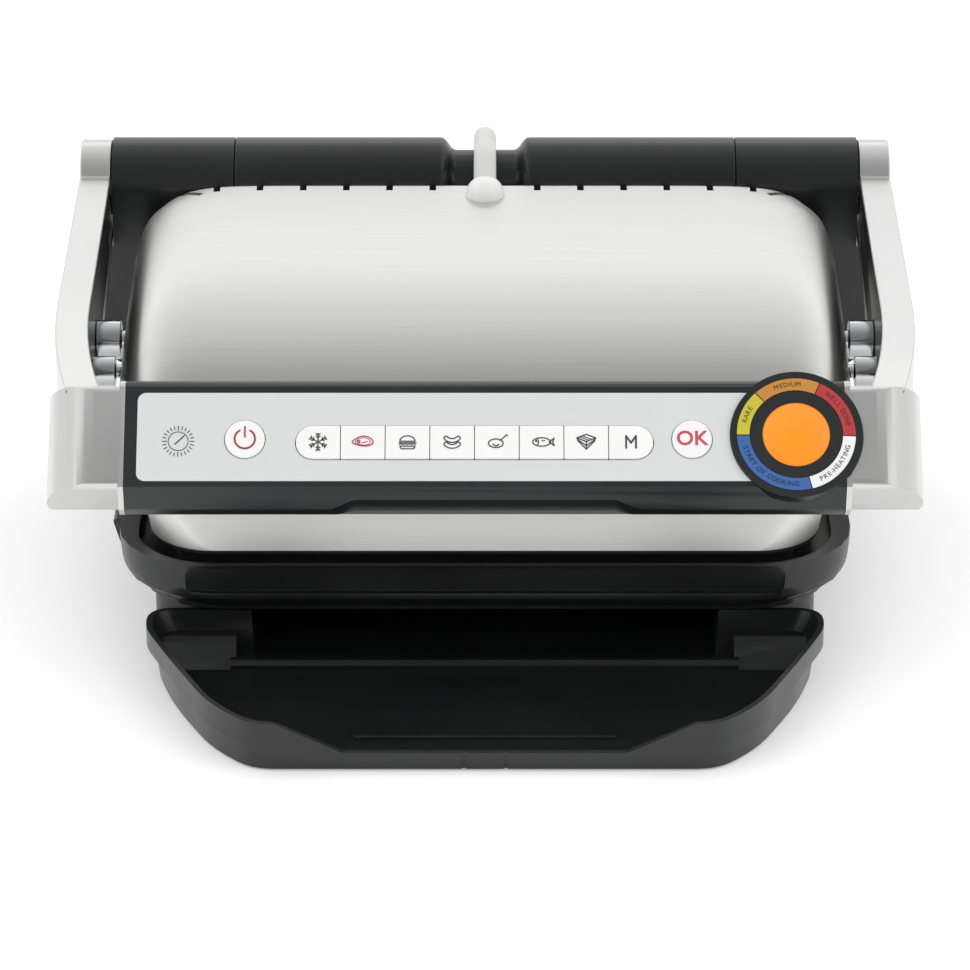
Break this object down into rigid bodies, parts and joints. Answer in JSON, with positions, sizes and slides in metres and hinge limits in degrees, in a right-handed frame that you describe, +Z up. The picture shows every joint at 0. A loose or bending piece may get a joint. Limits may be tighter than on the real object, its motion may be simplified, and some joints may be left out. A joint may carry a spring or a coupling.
{
  "type": "electric contact grill",
  "caption": "Countertop electric contact grill: a brushed steel lid floats between two hinged arms joined by a control handle, over a ribbed plate, with a pull-out drip tray.",
  "frame": {"origin": "on the worktop, under the middle of the overall box", "axes": "+Z up, -Y towards the user and the drip tray, +X to the user's right"},
  "size_m": [0.366, 0.3456, 0.1678],
  "materials": {
    "black_plastic": "fine-textured moulded PBT",
    "brushed_steel": "stainless sheet brushed side to side",
    "silver_frame": "satin silver",
    "chrome_pin": "polished",
    "steel_shaft": "ground rod",
    "zinc_screw": "zinc plated steel",
    "nonstick_cast": "die cast with non-stick coating",
    "heater_sheath": "oxidised steel sheath",
    "bright_sheet": "bright sheet",
    "thermostat_body": "plated case",
    "circuit_board": "solder resist",
    "foot_rubber": "moulded",
    "tray_plastic": "smooth moulded",
    "bearing_plastic": "acetal",
    "bezel_plastic": "satin moulded",
    "fascia": "printed silver foil",
    "ring_print": "printed colours",
    "lens": "lit orange",
    "key_white": "moulded white",
    "conduit_grey": "smooth flexible tube",
    "boss_white": "moulded"
  },
  "bodies": {
    "base": {"base_shell": "black_plastic", "base_bottom_cover": "black_plastic", "left_hinge_tower": "black_plastic", "right_hinge_tower": "black_plastic", "barrel_cover": "black_plastic", "hinge_shaft": "steel_shaft", "lower_plate": "nonstick_cast", "lower_heater": "heater_sheath", "lower_reflector": "bright_sheet", "lower_thermostat": "thermostat_body", "power_board": "circuit_board", "feet": "foot_rubber", "base_screws": "zinc_screw", "cord_gland": "black_plastic", "conduit_socket": "black_plastic", "cable_conduit": "conduit_grey"},
    "tray": {"drip_tray": "tray_plastic"},
    "lower_release": {"lower_release_button": "black_plastic"},
    "arms": {"left_arm": "silver_frame", "right_arm": "silver_frame", "left_arm_liner": "black_plastic", "right_arm_liner": "black_plastic", "left_hinge_bush": "bearing_plastic", "right_hinge_bush": "bearing_plastic", "left_pivot_pin": "chrome_pin", "right_pivot_pin": "chrome_pin", "left_stop_pin": "chrome_pin", "right_stop_pin": "chrome_pin", "handle_frame": "silver_frame", "control_bezel": "bezel_plastic", "control_panel": "fascia", "indicator_ring": "ring_print", "indicator_lens": "lens", "control_board": "circuit_board", "panel_screws": "zinc_screw"},
    "lid": {"lid_cover": "brushed_steel", "lid_housing": "black_plastic", "upper_plate": "nonstick_cast", "upper_heater": "heater_sheath", "upper_reflector": "bright_sheet", "upper_thermostat": "thermostat_body", "housing_screws": "zinc_screw", "conduit_boss": "boss_white"},
    "upper_release": {"upper_release_button": "black_plastic"},
    "power": {"power_button": "key_white"},
    "ok": {"ok_button": "key_white"},
    "key_frozen": {"key_frozen": "key_white"},
    "key_steak": {"key_steak": "key_white"},
    "key_burger": {"key_burger": "key_white"},
    "key_sausage": {"key_sausage": "key_white"},
    "key_poultry": {"key_poultry": "key_white"},
    "key_fish": {"key_fish": "key_white"},
    "key_sandwich": {"key_sandwich": "key_white"},
    "key_manual": {"key_manual": "key_white"}
  },
  "joints": [
    {"name": "arm_hinge", "type": "hinge", "parent": "base", "child": "arms", "pos_m": [0, 0.139, 0.142], "axis": [-1, 0, 0], "range_deg": [0, 98], "deforming": ["cable_conduit"]},
    {"name": "lid_float", "type": "hinge", "parent": "arms", "child": "lid", "pos_m": [0, 0.027, 0.109], "axis": [1, 0, 0], "range_deg": [-0.7, 0.7]},
    {"name": "tray_slide", "type": "slide", "parent": "base", "child": "tray", "axis": [0, -1, 0], "range_m": [0, 0.12]},
    {"name": "lower_release_press", "type": "slide", "parent": "base", "child": "lower_release", "axis": [1, 0, 0], "range_m": [0, 0.003], "stiffness_N_per_m": 900},
    {"name": "upper_release_press", "type": "slide", "parent": "lid", "child": "upper_release", "axis": [1, 0, 0], "range_m": [0, 0.003], "stiffness_N_per_m": 900},
    {"name": "power_press", "type": "slide", "parent": "arms", "child": "power", "axis": [0, 0.7242, -0.6896], "range_m": [0, 0.001], "stiffness_N_per_m": 700},
    {"name": "ok_press", "type": "slide", "parent": "arms", "child": "ok", "axis": [0, 0.7242, -0.6896], "range_m": [0, 0.001], "stiffness_N_per_m": 700},
    {"name": "key_frozen_press", "type": "slide", "parent": "arms", "child": "key_frozen", "axis": [0, 0.7242, -0.6896], "range_m": [0, 0.001], "stiffness_N_per_m": 700},
    {"name": "key_steak_press", "type": "slide", "parent": "arms", "child": "key_steak", "axis": [0, 0.7242, -0.6896], "range_m": [0, 0.001], "stiffness_N_per_m": 700},
    {"name": "key_burger_press", "type": "slide", "parent": "arms", "child": "key_burger", "axis": [0, 0.7242, -0.6896], "range_m": [0, 0.001], "stiffness_N_per_m": 700},
    {"name": "key_sausage_press", "type": "slide", "parent": "arms", "child": "key_sausage", "axis": [0, 0.7242, -0.6896], "range_m": [0, 0.001], "stiffness_N_per_m": 700},
    {"name": "key_poultry_press", "type": "slide", "parent": "arms", "child": "key_poultry", "axis": [0, 0.7242, -0.6896], "range_m": [0, 0.001], "stiffness_N_per_m": 700},
    {"name": "key_fish_press", "type": "slide", "parent": "arms", "child": "key_fish", "axis": [0, 0.7242, -0.6896], "range_m": [0, 0.001], "stiffness_N_per_m": 700},
    {"name": "key_sandwich_press", "type": "slide", "parent": "arms", "child": "key_sandwich", "axis": [0, 0.7242, -0.6896], "range_m": [0, 0.001], "stiffness_N_per_m": 700},
    {"name": "key_manual_press", "type": "slide", "parent": "arms", "child": "key_manual", "axis": [0, 0.7242, -0.6896], "range_m": [0, 0.001], "stiffness_N_per_m": 700}
  ]
}
